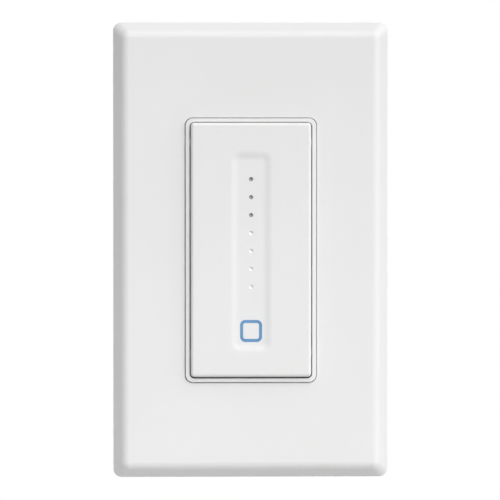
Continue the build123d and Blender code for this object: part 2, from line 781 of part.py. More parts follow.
# Varistor: a coated disc standing on edge on the power board
with BuildPart() as varistor:
    varistor_y = -power_board_level - varistor_radius - slot_depth
    with BuildSketch(Plane.XY.offset(small_part_z - varistor_thickness / 2)):
        with Locations((-small_part_x, varistor_y)):
            Circle(varistor_radius)
    extrude(amount=varistor_thickness)
    chamfer(varistor.edges().filter_by(GeomType.CIRCLE), varistor_thickness / 4)
    extrude(discs(power_board_level, lead_radius,
                  [(-small_part_x + side * header_pitch, small_part_z) for side in (-1, 1)]),
            amount=varistor_radius)

# Fuse: a small round canister on the power board
with BuildPart() as fuse:
    extrude(discs(power_board_level, fuse_radius, [(small_part_x, small_part_z)]),
            amount=fuse_height)
    chamfer(fuse.faces().sort_by(Axis.Y)[0].edges(), clip_gap)

# Terminal clamps: brass blocks, each with a wire bore, a cross bore for its screw and a pin
clamp_centre_level = clamp_level - clamp_length / 2
with BuildPart() as terminal_clamps:
    for x, z in terminal_places:
        extrude(rectangle(clamp_level - clamp_length, clamp_width, clamp_height, x, z),
                amount=clamp_length)
        extrude(rectangle(clamp_level, solder_pin, solder_pin, x, z),
                amount=power_board_thickness + clamp_gap)
    extrude(discs(clamp_level - clamp_length, clamp_bore_radius, terminal_places),
            amount=clamp_length - bay_wall, mode=Mode.SUBTRACT)
    for z in (-terminal_z, terminal_z):
        for side in (-1, 1):
            with Locations(Plane(origin=(side * clamp_side, -clamp_centre_level, z),
                                 z_dir=(side, 0, 0))):
                Hole(screw_radius + tapped_clearance, depth=clamp_width / 2)

# Terminal screws: reached through the windows in the housing's sides
screw_tip = terminal_x + clamp_bore_radius + clamp_gap
head_seat = clamp_side + clamp_gap
with BuildPart() as terminal_screws:
    for z in (-terminal_z, terminal_z):
        with BuildSketch(Plane(origin=(screw_tip, -clamp_centre_level, z),
                               z_dir=(1, 0, 0))):
            Circle(screw_radius)
        extrude(amount=head_seat - screw_tip)
        with BuildSketch(Plane(origin=(head_seat, -clamp_centre_level, z),
                               z_dir=(1, 0, 0))):
            Circle(terminal_screw_head)
        extrude(amount=terminal_screw_head_height)
        slot_x = head_seat + terminal_screw_head_height
        with Locations((slot_x, -clamp_centre_level, z)):
            Box(2 * slot_depth, slot_width, 3 * terminal_screw_head, mode=Mode.SUBTRACT)
    mirror(about=Plane.YZ)

# Rear housing: a moulded box with screw columns, terminal bays and wire entries
with BuildPart() as rear_housing:
    back_level = -housing_depth
    extrude(rounded(back_level, housing_width, housing_height, housing_corner_radius),
            amount=housing_depth)
    chamfer(rear_housing.faces().sort_by(Axis.Y)[-1].edges(), housing_edge_chamfer)
    extrude(rounded(back_level + housing_wall, housing_width - 2 * housing_wall,
                    housing_height - 2 * housing_wall, housing_corner_radius - housing_wall / 2),
            amount=housing_depth, mode=Mode.SUBTRACT)
    inner_back = back_level + housing_wall / 2
    extrude(discs(inner_back, column_radius, boss_places), amount=boss_level - inner_back)
    bay_height = 2 * terminal_z + clamp_height + 2 * clamp_gap + 2 * bay_wall
    bay_outer = housing_side - housing_wall / 2
    for side in (-1, 1):
        extrude(rectangle(inner_back, bay_outer - bay_inner, bay_height,
                          side * (bay_inner + bay_outer) / 2), amount=power_back_level - inner_back)
    pocket_outer = clamp_side + clamp_gap
    pocket_inner = bay_inner + bay_wall
    for x, z in terminal_places:
        side = math.copysign(1, x)
        extrude(rectangle(clamp_level - clamp_length - clamp_gap, pocket_outer - pocket_inner,
                          clamp_height + 2 * clamp_gap, side * (pocket_inner + pocket_outer) / 2, z),
                amount=clamp_length + 2 * clamp_gap, mode=Mode.SUBTRACT)
    extrude(discs(back_level, wire_radius, terminal_places), amount=housing_depth / 2,
            mode=Mode.SUBTRACT)
    extrude(rounded(back_level, label_width, housing_height - 2 * label_margin,
                    housing_corner_radius), amount=label_depth, mode=Mode.SUBTRACT)
    for z in (-1, 1):
        extrude(rounded(back_level, gauge_length, gauge_width, gauge_width / 3,
                        z=z * (housing_height / 2 - gauge_inset)), amount=gauge_depth,
                mode=Mode.SUBTRACT)
    for x, z in terminal_places:
        extrude(rectangle(back_level, release_height, release_width, x,
                          z + math.copysign(release_offset, z)), amount=release_depth,
                mode=Mode.SUBTRACT)
    for x, z in terminal_places:
        with Locations(Plane(origin=(x, housing_depth, z), z_dir=(0, 1, 0))):
            Cone(wire_radius, wire_radius + 2 * wire_funnel, 2 * wire_funnel, mode=Mode.SUBTRACT)
    with BuildSketch(Plane.YZ.offset(-housing_width)):
        with Locations(*[(-clamp_centre_level, z) for z in (-terminal_z, terminal_z)]):
            Circle(terminal_screw_head + terminal_window_gap)
    extrude(amount=housing_width - pocket_outer, mode=Mode.SUBTRACT)
    with BuildSketch(Plane.YZ.offset(pocket_outer)):
        with Locations(*[(-clamp_centre_level, z) for z in (-terminal_z, terminal_z)]):
            Circle(terminal_screw_head + terminal_window_gap)
    extrude(amount=housing_width, mode=Mode.SUBTRACT)
    extrude(discs(back_level, housing_screw_head + counterbore_clearance, boss_places),
            amount=housing_screw_level - back_level, mode=Mode.SUBTRACT)
    extrude(discs(housing_screw_level, housing_screw_radius + 3 * tapped_clearance,
                  boss_places), amount=boss_level - housing_screw_level, mode=Mode.SUBTRACT)
    with Locations(Plane(origin=(-housing_side, ground_y, ground_tab_z), z_dir=(1, 0, 0))):
        Cylinder(screw_radius + 2 * bay_wall, recess_depth + bay_wall,
                 align=(Align.CENTER, Align.CENTER, Align.MIN))
        Cylinder(screw_radius + clip_gap, recess_depth,
                 align=(Align.CENTER, Align.CENTER, Align.MIN), mode=Mode.SUBTRACT)

# Housing screws: sunk in the back, they draw the housing and the frame on to the yoke
with BuildPart() as housing_screws:
    extrude(discs(housing_screw_level - housing_screw_head_height, housing_screw_head,
                  boss_places), amount=housing_screw_head_height)
    screw_end = yoke_thickness + frame_floor / 4
    extrude(discs(housing_screw_level, housing_screw_radius, boss_places),
            amount=screw_end - housing_screw_level)
    for x, z in boss_places:
        slot_level = housing_screw_level - housing_screw_head_height
        extrude(rectangle(slot_level, 3 * housing_screw_head, slot_width, x, z),
                amount=slot_depth, mode=Mode.SUBTRACT)
        extrude(rectangle(slot_level, slot_width, 3 * housing_screw_head, x, z),
                amount=slot_depth, mode=Mode.SUBTRACT)

# Ground screw: its thread runs through the yoke's side tab into a recess of the housing
with BuildPart() as ground_screw:
    seat_x = tab_x - yoke_thickness
    head_plane = Plane(origin=(seat_x, ground_y, ground_tab_z), z_dir=(-1, 0, 0))
    with BuildSketch(head_plane):
        Circle(ground_head_radius)
    extrude(amount=ground_head_height)
    with BuildSketch(head_plane):
        Circle(screw_radius)
    extrude(amount=-(yoke_thickness + recess_depth / 2 + clip_gap))
    with Locations((seat_x - ground_head_height, ground_y, ground_tab_z)):
        Box(2 * slot_depth, slot_width, 3 * ground_head_radius, mode=Mode.SUBTRACT)

finish(wall_plate.part, "wall_plate")
finish(plate_backer.part, "plate_backer")
finish(Compound(plate_screw_pair), "plate_screws")
finish(yoke.part, "yoke")
finish(Compound(box_screw_pair), "box_screws")
finish(screw_retainers.part, "screw_retainers")
finish(front_frame.part, "front_frame")
finish(touch_panel.part, "touch_panel")
finish(ring_lens.part, "ring_lens")
finish(touch_film.part, "touch_film")
finish(light_pipe.part, "light_pipe")
finish(led_board.part, "led_board")
finish(dimmer_leds.part, "dimmer_leds")
finish(ring_leds.part, "ring_leds")
finish(tact_switch.part, "tact_switch")
finish(switch_plunger.part, "switch_plunger")
finish(board_screws.part, "board_screws")
finish(board_header.part, "board_header")
finish(control_board.part, "control_board")
finish(radio_shield.part, "radio_shield")
finish(power_header.part, "power_header")
finish(insulator.part, "insulator")
finish(power_transistors.part, "power_transistors")
finish(power_board.part, "power_board")
finish(filter_choke.part, "filter_choke")
finish(transformer.part, "transformer")
finish(electrolytic_capacitors.part, "electrolytic_capacitors")
finish(film_capacitor.part, "film_capacitor")
finish(varistor.part, "varistor")
finish(fuse.part, "fuse")
finish(terminal_clamps.part, "terminal_clamps")
finish(terminal_screws.part, "terminal_screws")
finish(rear_housing.part, "rear_housing")
finish(housing_screws.part, "housing_screws")
finish(ground_screw.part, "ground_screw")
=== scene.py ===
"""Looks of a flush-mounted smart dimmer switch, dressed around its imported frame.

Everything is in metres in the frame's own axes: x to the right, z up, and the wall at y = 0
with the front of the switch facing -y.
"""
import math

import bmesh
import bpy
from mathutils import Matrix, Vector


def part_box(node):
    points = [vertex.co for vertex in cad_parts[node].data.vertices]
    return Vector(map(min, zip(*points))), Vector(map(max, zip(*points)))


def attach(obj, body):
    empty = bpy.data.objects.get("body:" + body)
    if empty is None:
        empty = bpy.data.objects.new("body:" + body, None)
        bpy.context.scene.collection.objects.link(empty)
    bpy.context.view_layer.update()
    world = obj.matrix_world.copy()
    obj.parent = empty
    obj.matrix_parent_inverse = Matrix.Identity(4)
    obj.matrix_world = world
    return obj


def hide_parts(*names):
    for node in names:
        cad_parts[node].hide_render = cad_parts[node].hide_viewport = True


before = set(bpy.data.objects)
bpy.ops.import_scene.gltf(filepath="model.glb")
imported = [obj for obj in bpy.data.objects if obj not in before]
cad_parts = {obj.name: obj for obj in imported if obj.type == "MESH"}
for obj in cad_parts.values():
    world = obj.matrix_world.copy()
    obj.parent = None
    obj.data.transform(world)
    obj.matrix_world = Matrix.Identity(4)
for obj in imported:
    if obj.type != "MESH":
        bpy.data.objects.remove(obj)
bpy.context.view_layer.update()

MM = 0.001
scene = bpy.context.scene

# Sizes of the switch in millimetres, as its source has them
PANEL_FRONT = -8.2
CHANNEL_FLOOR = -7.85
RING_Z = -20.2
RING_SIZE = 5.5
RING_CORNER = 1.3
DOT_TOP = 17.85
DOT_PITCH = 4.5
BOX_SCREW_PITCH = 83.34
PLATE_SCREW_PITCH = 96.84
SCREW_RADIUS = 1.753
THREAD_PITCH = 0.794

# How the threads and slots are cut, in millimetres
THREAD_DEPTH = 0.42
SLOT_WIDTH = 0.9
SLOT_DEPTH = 0.7
SLOT_REACH = 20

# The thread's profile: how far past full height its crest would rise, and the slope of its
# flanks, both as shares of its depth and pitch
CREST_RISE = 1.35
FLANK_SLOPE = 2.9

# How finely a screw is divided, and the angle in degrees above which its edges are crisp
AROUND = 36
RINGS_PER_TURN = 12
CRISP_ABOVE = 32

# Domed head of a box screw: where it sits, how far it rises and its widest radius
HEAD_FOOT = -1.2
HEAD_RISE = 1.9
HEAD_RADIUS = 3.2
HEAD_STEPS = 10

# Each screw from its head: (y, radius) of the head and neck, where the thread starts and
# ends, the top of the head, and how far each step of the chamfered tip reaches past the end
BOX_SCREW = {
    "outline": [(HEAD_FOOT - HEAD_RISE * math.cos(step * math.pi / 2 / HEAD_STEPS),
                 HEAD_RADIUS * math.sin(step * math.pi / 2 / HEAD_STEPS))
                for step in range(1, HEAD_STEPS + 1)] + [(HEAD_FOOT, 1.5), (0.45, 1.5)],
    "start": 0.46, "end": 19.0, "top": -3.1, "tip": (0.45, 1.0)}
PLATE_SCREW = {
    "outline": [(-2.8, 2.8), (-1.3, 1.7)],
    "start": -1.29, "end": 5.9, "top": -2.8, "tip": (0.3,)}

# Colours of the white moulding and of what is lit behind it
BLACK = (0.0, 0.0, 0.0)
WHITE_WARM = (0.785, 0.785, 0.782)
WHITE_COOL = (0.797, 0.798, 0.798)
# GLOW_BLUE is a painted glow that the white panel itself emits round the lit ring
GLOW_BLUE = (0.012, 0.03, 0.05)
LENS_DEEP = (0.02, 0.09, 0.17)
LENS_PALE = (0.032, 0.115, 0.205)
# DOT_SHINE is the glow of a lit LED tip, kept off the painted rim shadow at its upper right
DOT_SHINE = (0.28, 0.28, 0.28)

# The dots below this height are lit, in millimetres
LIT_DOTS_BELOW = 5.0

# The painted glow on the panel is strongest this far inside the ring's outer edge, in
# millimetres, and it halves this many times in each millimetre away from there
GLOW_INSET = 0.35
GLOW_FADE = 1.6

# The floor in metres, and the shares of its radius between which it turns white
FLOOR_RADIUS = 0.5
FLOOR_LEVEL = -0.11
FLOOR_FADE = (0.55, 0.98)
FLOOR_PALE = (0.7, 0.7, 0.7, 1)
PLAIN_WHITE = (1, 1, 1, 1)

# Light: the surround, a gridded panel low in front, and broad lamps, each with where it
# shines from, its strength and how wide it looks in degrees
AMBIENT = 0.197
FRONT_POWER = 0.0134
FRONT_PLACE = (0.0, -0.7, -0.04)
FRONT_AIM = (0.0, -0.006, -0.09)
FRONT_SIZE = (0.4, 0.1)
FRONT_SPREAD = 30
LAMPS = [("key_above", (0.15, -0.6, 0.78), 1.36, 60),
         ("key_right", (0.8, -0.5, 0.33), 1.37, 60),
         ("front_high", (0.0, -0.85, 0.5), 0.56, 60),
         ("back_soft", (-0.4, 0.9, 0.12), 0.9, 60)]

# The camera looks from a little left of the front and a little above, in metres and degrees
CAMERA_LENS = 315.0
CAMERA_SENSOR = 36.0
CAMERA_AIM = (-0.00014, -0.004, 0.0)
CAMERA_AWAY = 1.1
CAMERA_SIDE = -2.0
CAMERA_RISE = 1.6

# Sockets of a Mix node that mixes colours
MIX_FIRST, MIX_SECOND, MIX_RESULT = 6, 7, 2


class Value:
    """One output socket; arithmetic on it adds Math nodes."""

    def __init__(self, paint, socket):
        self.paint = paint
        self.socket = socket

    def _math(self, operation, *parts):
        return self.paint.node("ShaderNodeMath", {"operation": operation},
                               dict(enumerate(parts)))

    def __add__(self, other):
        return self._math("ADD", self, other)

    def __radd__(self, other):
        return self._math("ADD", other, self)

    def __sub__(self, other):
        return self._math("SUBTRACT", self, other)

    def __rsub__(self, other):
        return self._math("SUBTRACT", other, self)

    def __mul__(self, other):
        return self._math("MULTIPLY", self, other)

    def __rmul__(self, other):
        return self._math("MULTIPLY", other, self)

    def __pow__(self, other):
        return self._math("POWER", self, other)

    def __rpow__(self, other):
        return self._math("POWER", other, self)

    def __abs__(self):
        return self._math("ABSOLUTE", self)

    def at_least(self, other):
        return self._math("MAXIMUM", self, other)

    def ramp(self, low, high):
        """0 below low, 1 above high and smooth between them."""
        return self.paint.node("ShaderNodeMapRange", {"interpolation_type": "SMOOTHSTEP"},
                               {"Value": self, "From Min": low, "From Max": high})


class Paint:
    """The nodes of one material, named for its finish, or of the world."""

    def __init__(self, name, world=None):
        self.block = world or bpy.data.materials.new(name)
        self.block.use_nodes = True
        self.tree = self.block.node_tree
        self.tree.nodes.clear()
        kind = "World" if world else "Material"
        self.out = self.tree.nodes.new("ShaderNodeOutput" + kind)

    def node(self, kind, settings=None, inputs=None, output=0):
        """Any node: its settings first, then the values or links of its sockets."""
        node = self.tree.nodes.new(kind)
        for key, value in (settings or {}).items():
            setattr(node, key, value)
        for key, value in (inputs or {}).items():
            if isinstance(value, Value):
                self.tree.links.new(value.socket, node.inputs[key])
            else:
                node.inputs[key].default_value = value
        return Value(self, node.outputs[output])

    def place(self):
        """Where the point is on the object, in millimetres."""
        there = self.node("ShaderNodeTexCoord", output="Object")
        return self.node("ShaderNodeVectorMath", {"operation": "SCALE"},
                         {0: there, "Scale": 1 / MM})

    def axes(self, place):
        """The x, y and z of a place."""
        split = self.node("ShaderNodeSeparateXYZ", inputs={0: place}).socket.node
        return [Value(self, socket) for socket in split.outputs]

    def noise(self, place, scale, detail=3.0, roughness=0.5):
        """Cloudy noise from 0 to 1, scale in waves per millimetre."""
        return self.node("ShaderNodeTexNoise", None,
                         {"Vector": place, "Scale": scale, "Detail": detail,
                          "Roughness": roughness})

    def cells(self, place, scale, feature="F1", output="Distance"):
        """Cells round scattered points, scale in cells per millimetre."""
        return self.node("ShaderNodeTexVoronoi", {"feature": feature},
                         {"Vector": place, "Scale": scale}, output)

    def stretched(self, place, factors):
        """A place with each axis drawn out by its factor, for marks that run one way."""
        return self.node("ShaderNodeVectorMath", {"operation": "MULTIPLY"},
                         {0: place, 1: factors})

    def mix(self, share, first, second):
        """From the first colour to the second as share goes from 0 to 1."""
        values = {0: share}
        for index, colour in ((MIX_FIRST, first), (MIX_SECOND, second)):
            values[index] = colour if isinstance(colour, Value) else (*colour, 1)
        return self.node("ShaderNodeMix", {"data_type": "RGBA"}, values, MIX_RESULT)

    def bands(self, place, direction, scale, **more):
        """Soft bands from 0 to 1 across the direction of one axis."""
        return self.node("ShaderNodeTexWave",
                         {"bands_direction": direction, "wave_profile": "SIN"},
                         {"Vector": place, "Scale": scale, **more})

    def bump(self, height, depth, strength=1.0):
        """A normal from a height of 0 to 1 that stands for depth in millimetres."""
        return self.node("ShaderNodeBump", None,
                         {"Height": height, "Distance": depth * MM, "Strength": strength})

    def show(self, shader):
        """Make a shader what is seen, and give back the material or world."""
        self.tree.links.new(shader.socket, self.out.inputs["Surface"])
        return self.block

    def finish(self, **sockets):
        """Show one Principled shader; names are its sockets with _ for spaces."""
        inputs = {key.replace("_", " "): value for key, value in sockets.items()}
        return self.show(self.node("ShaderNodeBsdfPrincipled", None, inputs, "BSDF"))


def white_moulding(name, glow=False):
    """Satin white moulded plastic: faint flow clouding and a skin of very fine grain.
    With glow, the sunk channel has a painted blue glow round the lit ring, emitted by the
    panel's own surface."""
    paint = Paint(name)
    place = paint.place()
    cloud = paint.noise(place, 0.035, 4.0)
    grain = paint.noise(place, 3.2, 2.0)
    speck = paint.noise(place, 0.9, 3.0)
    colour = paint.mix(cloud.ramp(0.3, 0.7), WHITE_WARM, WHITE_COOL)
    sockets = {"Base_Color": colour,
               "Roughness": speck * 0.08 + 0.36,
               "Normal": paint.bump(grain * 0.7 + speck * 0.3, 0.012),
               "Specular_IOR_Level": 0.4}
    if glow:
        x, y, z = paint.axes(place)
        reach = RING_SIZE / 2 - RING_CORNER
        across = (abs(x) - reach).at_least(0.0)
        along = (abs(z - RING_Z) - reach).at_least(0.0)
        far = (across * across + along * along) ** 0.5 - RING_CORNER
        # Painted glow: the panel emits blue round the ring in place of the ring's light
        # spilling onto it
        halo = 2.0 ** (-GLOW_FADE * abs(far + GLOW_INSET))
        sunk = y.ramp(PANEL_FRONT - 0.1, CHANNEL_FLOOR)
        sockets["Emission_Color"] = paint.mix(halo * sunk, BLACK, GLOW_BLUE)
        sockets["Emission_Strength"] = 1.0
    return paint.finish(**sockets)


def backer_moulding():
    """Matt off-white sub-plate with a coarser moulded grain."""
    paint = Paint("backer_matt_white")
    place = paint.place()
    grain = paint.noise(place, 2.4, 3.0)
    cloud = paint.noise(place, 0.05, 3.0)
    return paint.finish(Base_Color=paint.mix(cloud, (0.66, 0.66, 0.63), (0.74, 0.74, 0.71)),
                        Roughness=grain * 0.15 + 0.5,
                        Normal=paint.bump(grain, 0.025))


def dark_moulding(name, first, second, depth, scale=2.6):
    """Dark moulded plastic with a spark-eroded grain of the given depth."""
    paint = Paint(name)
    place = paint.place()
    grain = paint.noise(place, scale, 3.0, 0.6)
    pits = paint.cells(place, scale * 1.4)
    cloud = paint.noise(place, 0.06, 3.0)
    return paint.finish(Base_Color=paint.mix(cloud, first, second),
                        Roughness=grain * 0.22 + 0.44,
                        Normal=paint.bump(grain * 0.6 + pits * 0.4, depth))


def plated_steel(name, tint=(0.7, 0.71, 0.73), dull=(0.5, 0.51, 0.53)):
    """Bright zinc plating with soft clouding and fine turning marks."""
    paint = Paint(name)
    place = paint.place()
    cloud = paint.noise(place, 0.5, 4.0)
    marks = paint.noise(paint.stretched(place, (1.0, 9.0, 1.0)), 1.3, 3.0)
    return paint.finish(Base_Color=paint.mix(cloud.ramp(0.35, 0.7), tint, dull),
                        Metallic=1.0,
                        Roughness=cloud * 0.18 + marks * 0.12 + 0.16,
                        Normal=paint.bump(marks, 0.01))


def galvanised_sheet():
    """Galvanised strap: spangled crystals, each a little lighter or duller."""
    paint = Paint("galvanised_sheet")
    place = paint.place()
    crystal = paint.cells(place, 0.55, output="Color")
    shade = paint.axes(crystal)[0]
    rim = paint.cells(place, 0.55, feature="DISTANCE_TO_EDGE").ramp(0.0, 0.05)
    haze = paint.noise(place, 1.8, 4.0)
    tone = paint.mix(shade, (0.47, 0.49, 0.51), (0.68, 0.7, 0.72))
    return paint.finish(Base_Color=paint.mix(rim, (0.52, 0.54, 0.56), tone),
                        Metallic=1.0,
                        Roughness=shade * 0.18 + haze * 0.16 + 0.22,
                        Normal=paint.bump(haze * 0.5 + shade * 0.5, 0.012))


def pressed_fibre():
    """Vulcanised fibre washers: brown felted board with darker strands."""
    paint = Paint("pressed_fibre")
    place = paint.place()
    strand = paint.noise(paint.stretched(place, (4.0, 1.0, 1.0)), 0.9, 5.0, 0.7)
    return paint.finish(Base_Color=paint.mix(strand, (0.3, 0.19, 0.1), (0.5, 0.35, 0.2)),
                        Roughness=strand * 0.2 + 0.7,
                        Normal=paint.bump(strand, 0.04))


def blue_lens():
    """The square ring: clear blue moulding, lit from behind a little unevenly."""
    paint = Paint("blue_lit_lens")
    place = paint.place()
    soft = paint.noise(place, 0.35, 2.0)
    haze = paint.noise(place, 4.0, 2.0)
    lit = paint.mix(soft.ramp(0.3, 0.7), LENS_DEEP, LENS_PALE)
    return paint.finish(Base_Color=paint.mix(soft, (0.022, 0.11, 0.25), (0.03, 0.13, 0.29)),
                        Emission_Color=lit, Emission_Strength=1.0,
                        Roughness=haze * 0.06 + 0.22,
                        Normal=paint.bump(haze, 0.004),
                        Coat_Weight=0.3)


def light_pipe_clear():
    """Clear pins whose lower tips are lit while the upper ones are dark behind. Each tip has
    a painted shadow at its upper right, where the rim of its hole stands over it, and a lit
    tip glows only outside that painted shadow."""
    paint = Paint("light_pipe_clear")
    place = paint.place()
    x, _, z = paint.axes(place)
    frost = paint.noise(place, 5.0, 2.0)
    lit = 1.0 - z.ramp(LIT_DOTS_BELOW - 0.5, LIT_DOTS_BELOW + 0.5)
    above = paint.node("ShaderNodeMath", {"operation": "WRAP"},
                       {0: z - DOT_TOP, 1: DOT_PITCH / 2, 2: -DOT_PITCH / 2})
    # Painted shadow of the hole's rim over the upper right of each tip, darkening lit and
    # dark tips alike
    painted_rim_shadow = (above * 0.8 + x * 0.6 + frost * 0.1).ramp(-0.15, 0.25)
    dark_tip = paint.mix(painted_rim_shadow, (0.33, 0.335, 0.34), (0.15, 0.152, 0.155))
    lit_tip = paint.mix(painted_rim_shadow, (0.85, 0.87, 0.88), (0.7, 0.715, 0.72))
    # The base colour carries the painted rim shadow; a lit tip's LED glow is kept off that
    # painted shadow
    return paint.finish(Base_Color=paint.mix(lit, dark_tip, lit_tip),
                        Emission_Color=paint.mix(lit * (1.0 - painted_rim_shadow), BLACK, DOT_SHINE),
                        Emission_Strength=1.0,
                        Roughness=frost * 0.1 + 0.15,
                        Normal=paint.bump(frost, 0.004))


def amber_film():
    """Thin amber sheet with faint printed sensor stripes."""
    paint = Paint("amber_film")
    place = paint.place()
    stripe = paint.bands(place, "Z", 0.35, Distortion=0.0).ramp(0.45, 0.55)
    sheen = paint.noise(place, 0.8, 2.0)
    return paint.finish(Base_Color=paint.mix(stripe, (0.5, 0.27, 0.06), (0.36, 0.2, 0.05)),
                        Roughness=sheen * 0.1 + 0.25,
                        Normal=paint.bump(sheen, 0.01))


def solder_resist():
    """Green circuit board with tracks and glass weave under the resist."""
    paint = Paint("green_solder_resist")
    place = paint.place()
    run = paint.bands(place, "X", 0.5, **{"Distortion": 3.0, "Detail Scale": 0.2})
    area = paint.noise(place, 0.12, 0.0).ramp(0.48, 0.5)
    track = run.ramp(0.62, 0.7) * area
    weave = paint.noise(paint.stretched(place, (3.0, 1.0, 3.0)), 1.2, 2.0)
    return paint.finish(Base_Color=paint.mix(track, (0.012, 0.11, 0.045), (0.03, 0.22, 0.08)),
                        Roughness=weave * 0.1 + 0.28,
                        Normal=paint.bump(track * 0.8 + weave * 0.2, 0.03))


def led_resin():
    """Small moulded lamp bodies, yellowish from the phosphor in them."""
    paint = Paint("led_resin")
    place = paint.place()
    grain = paint.noise(place, 2.0, 2.0)
    return paint.finish(Base_Color=paint.mix(grain, (0.8, 0.74, 0.42), (0.85, 0.82, 0.6)),
                        Roughness=grain * 0.15 + 0.3,
                        Normal=paint.bump(grain, 0.01))


def wound_copper():
    """Enamelled wire wound round the core: one ridge for each turn, with painted shade in the
    gaps between the turns.
    """
    low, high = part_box("filter_choke")
    middle = (low + high) / 2 / MM
    paint = Paint("wound_copper")
    place = paint.place()
    x, _, z = paint.axes(place)
    angle = paint.node("ShaderNodeMath", {"operation": "ARCTAN2"},
                       {0: z - middle.z, 1: x - middle.x})
    turns = 46.0
    wave = paint.node("ShaderNodeMath", {"operation": "SINE"}, {0: angle * turns})
    turn = wave * 0.5 + 0.5
    tarnish = paint.noise(place, 0.7, 3.0)
    copper = paint.mix(tarnish, (0.42, 0.15, 0.05), (0.62, 0.26, 0.1))
    # The dark colour between the ridges is painted shade in the gaps between the turns
    return paint.finish(Base_Color=paint.mix(turn, (0.16, 0.05, 0.02), copper),
                        Metallic=0.7,
                        Roughness=tarnish * 0.15 + 0.25,
                        Normal=paint.bump(turn, 0.3))


def turned_brass():
    """Machined brass with cut lines and a little tarnish."""
    paint = Paint("turned_brass")
    place = paint.place()
    tarnish = paint.noise(place, 0.6, 4.0)
    lines = paint.noise(paint.stretched(place, (0.6, 7.0, 0.6)), 1.4, 2.0)
    return paint.finish(Base_Color=paint.mix(tarnish, (0.56, 0.38, 0.13), (0.76, 0.57, 0.25)),
                        Metallic=1.0,
                        Roughness=lines * 0.16 + tarnish * 0.14 + 0.2,
                        Normal=paint.bump(lines, 0.015))


def green_plating():
    """Green passivated screw for the earth lead."""
    paint = Paint("green_plating")
    place = paint.place()
    cloud = paint.noise(place, 0.7, 4.0)
    return paint.finish(Base_Color=paint.mix(cloud, (0.03, 0.22, 0.07), (0.07, 0.38, 0.13)),
                        Metallic=0.75,
                        Roughness=cloud * 0.2 + 0.25,
                        Normal=paint.bump(cloud, 0.01))


def plain_resin(name, first, second, rough=0.35, depth=0.02):
    """Moulded or dipped resin with a soft uneven skin."""
    paint = Paint(name)
    place = paint.place()
    skin = paint.noise(place, 0.8, 3.0)
    return paint.finish(Base_Color=paint.mix(skin, first, second),
                        Roughness=skin * 0.15 + rough,
                        Normal=paint.bump(skin, depth))


white = white_moulding("white_satin_moulding")
zinc = plated_steel("bright_zinc_plating")
brass = turned_brass()
resist = solder_resist()
lamp_resin = led_resin()
part_dark = dark_moulding("dark_fine_moulding", (0.018, 0.018, 0.02), (0.03, 0.03, 0.033),
                          0.02, 4.0)

FINISHES = {
    "wall_plate": white,
    "front_frame": white,
    "touch_panel": white_moulding("panel_white_with_glow", glow=True),
    "ring_lens": blue_lens(),
    "light_pipe": light_pipe_clear(),
    "touch_film": amber_film(),
    "plate_backer": backer_moulding(),
    "plate_screws": zinc,
    "box_screws": zinc,
    "board_screws": zinc,
    "housing_screws": zinc,
    "terminal_screws": brass,
    "terminal_clamps": brass,
    "ground_screw": green_plating(),
    "screw_retainers": pressed_fibre(),
    "yoke": galvanised_sheet(),
    "led_board": resist,
    "control_board": resist,
    "power_board": resist,
    "dimmer_leds": lamp_resin,
    "ring_leds": lamp_resin,
    "tact_switch": part_dark,
    "switch_plunger": part_dark,
    "board_header": part_dark,
    "power_header": part_dark,
    "radio_shield": plated_steel("tinned_sheet", (0.78, 0.78, 0.77), (0.62, 0.62, 0.61)),
    "insulator": plain_resin("grey_insulating_sheet", (0.42, 0.42, 0.4), (0.5, 0.5, 0.48)),
    "power_transistors": part_dark,
    "filter_choke": wound_copper(),
    "transformer": plain_resin("dark_ferrite", (0.04, 0.04, 0.045), (0.075, 0.075, 0.08)),
    "electrolytic_capacitors": part_dark,
    "film_capacitor": plain_resin("ochre_potted_box", (0.55, 0.34, 0.05), (0.68, 0.46, 0.1)),
    "varistor": plain_resin("blue_dipped_coating", (0.02, 0.08, 0.28), (0.04, 0.14, 0.42)),
    "fuse": part_dark,
    "rear_housing": dark_moulding("housing_spark_texture", (0.028, 0.029, 0.031),
                                  (0.042, 0.043, 0.046), 0.045),
}


def lay(obj, material):
    """Give one object one material."""
    obj.data.materials.clear()
    obj.data.materials.append(material)


for name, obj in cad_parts.items():
    lay(obj, FINISHES[name])


def made(name, mesh):
    """An object from finished mesh data, linked to the scene."""
    data = bpy.data.meshes.new(name)
    mesh.to_mesh(data)
    mesh.free()
    obj = bpy.data.objects.new(name, data)
    scene.collection.objects.link(obj)
    return obj


def settle(obj):
    """Apply the modifiers of a piece."""
    bpy.context.view_layer.update()
    solved = obj.evaluated_get(bpy.context.evaluated_depsgraph_get())
    data = bpy.data.meshes.new_from_object(solved)
    obj.modifiers.clear()
    obj.data = data


def smooth_by_angle(obj):
    """Smooth shading, with the sharper edges kept crisp."""
    limit = math.radians(CRISP_ABOVE)
    mesh = bmesh.new()
    mesh.from_mesh(obj.data)
    for face in mesh.faces:
        face.smooth = True
    for edge in mesh.edges:
        edge.smooth = len(edge.link_faces) == 2 and edge.calc_face_angle(0.0) < limit
    mesh.to_mesh(obj.data)
    mesh.free()


def joined(name, parts):
    """Several objects as one."""
    mesh = bmesh.new()
    for part in parts:
        mesh.from_mesh(part.data)
        bpy.data.objects.remove(part)
    return made(name, mesh)


def ring_of(mesh, y, z, radii):
    """Vertices round the axis of a screw at height z, one for each radius."""
    turn = 2 * math.pi / len(radii)
    return [mesh.verts.new((radius * math.cos(turn * i) * MM, y * MM,
                            (z + radius * math.sin(turn * i)) * MM))
            for i, radius in enumerate(radii)]


def thread_radii(y, start, end):
    """Radii round the thread at depth y: flat crests, sloping flanks and a run-out."""
    fade = min(1.0, (y - start) / THREAD_PITCH, (end - y) / THREAD_PITCH)
    radii = []
    for i in range(AROUND):
        phase = (y / THREAD_PITCH - i / AROUND) % 1.0
        flank = min(1.0, max(0.0, CREST_RISE - FLANK_SLOPE * abs(phase - 0.5)))
        radii.append(SCREW_RADIUS - THREAD_DEPTH * max(0.0, fade) * (1.0 - flank))
    return radii


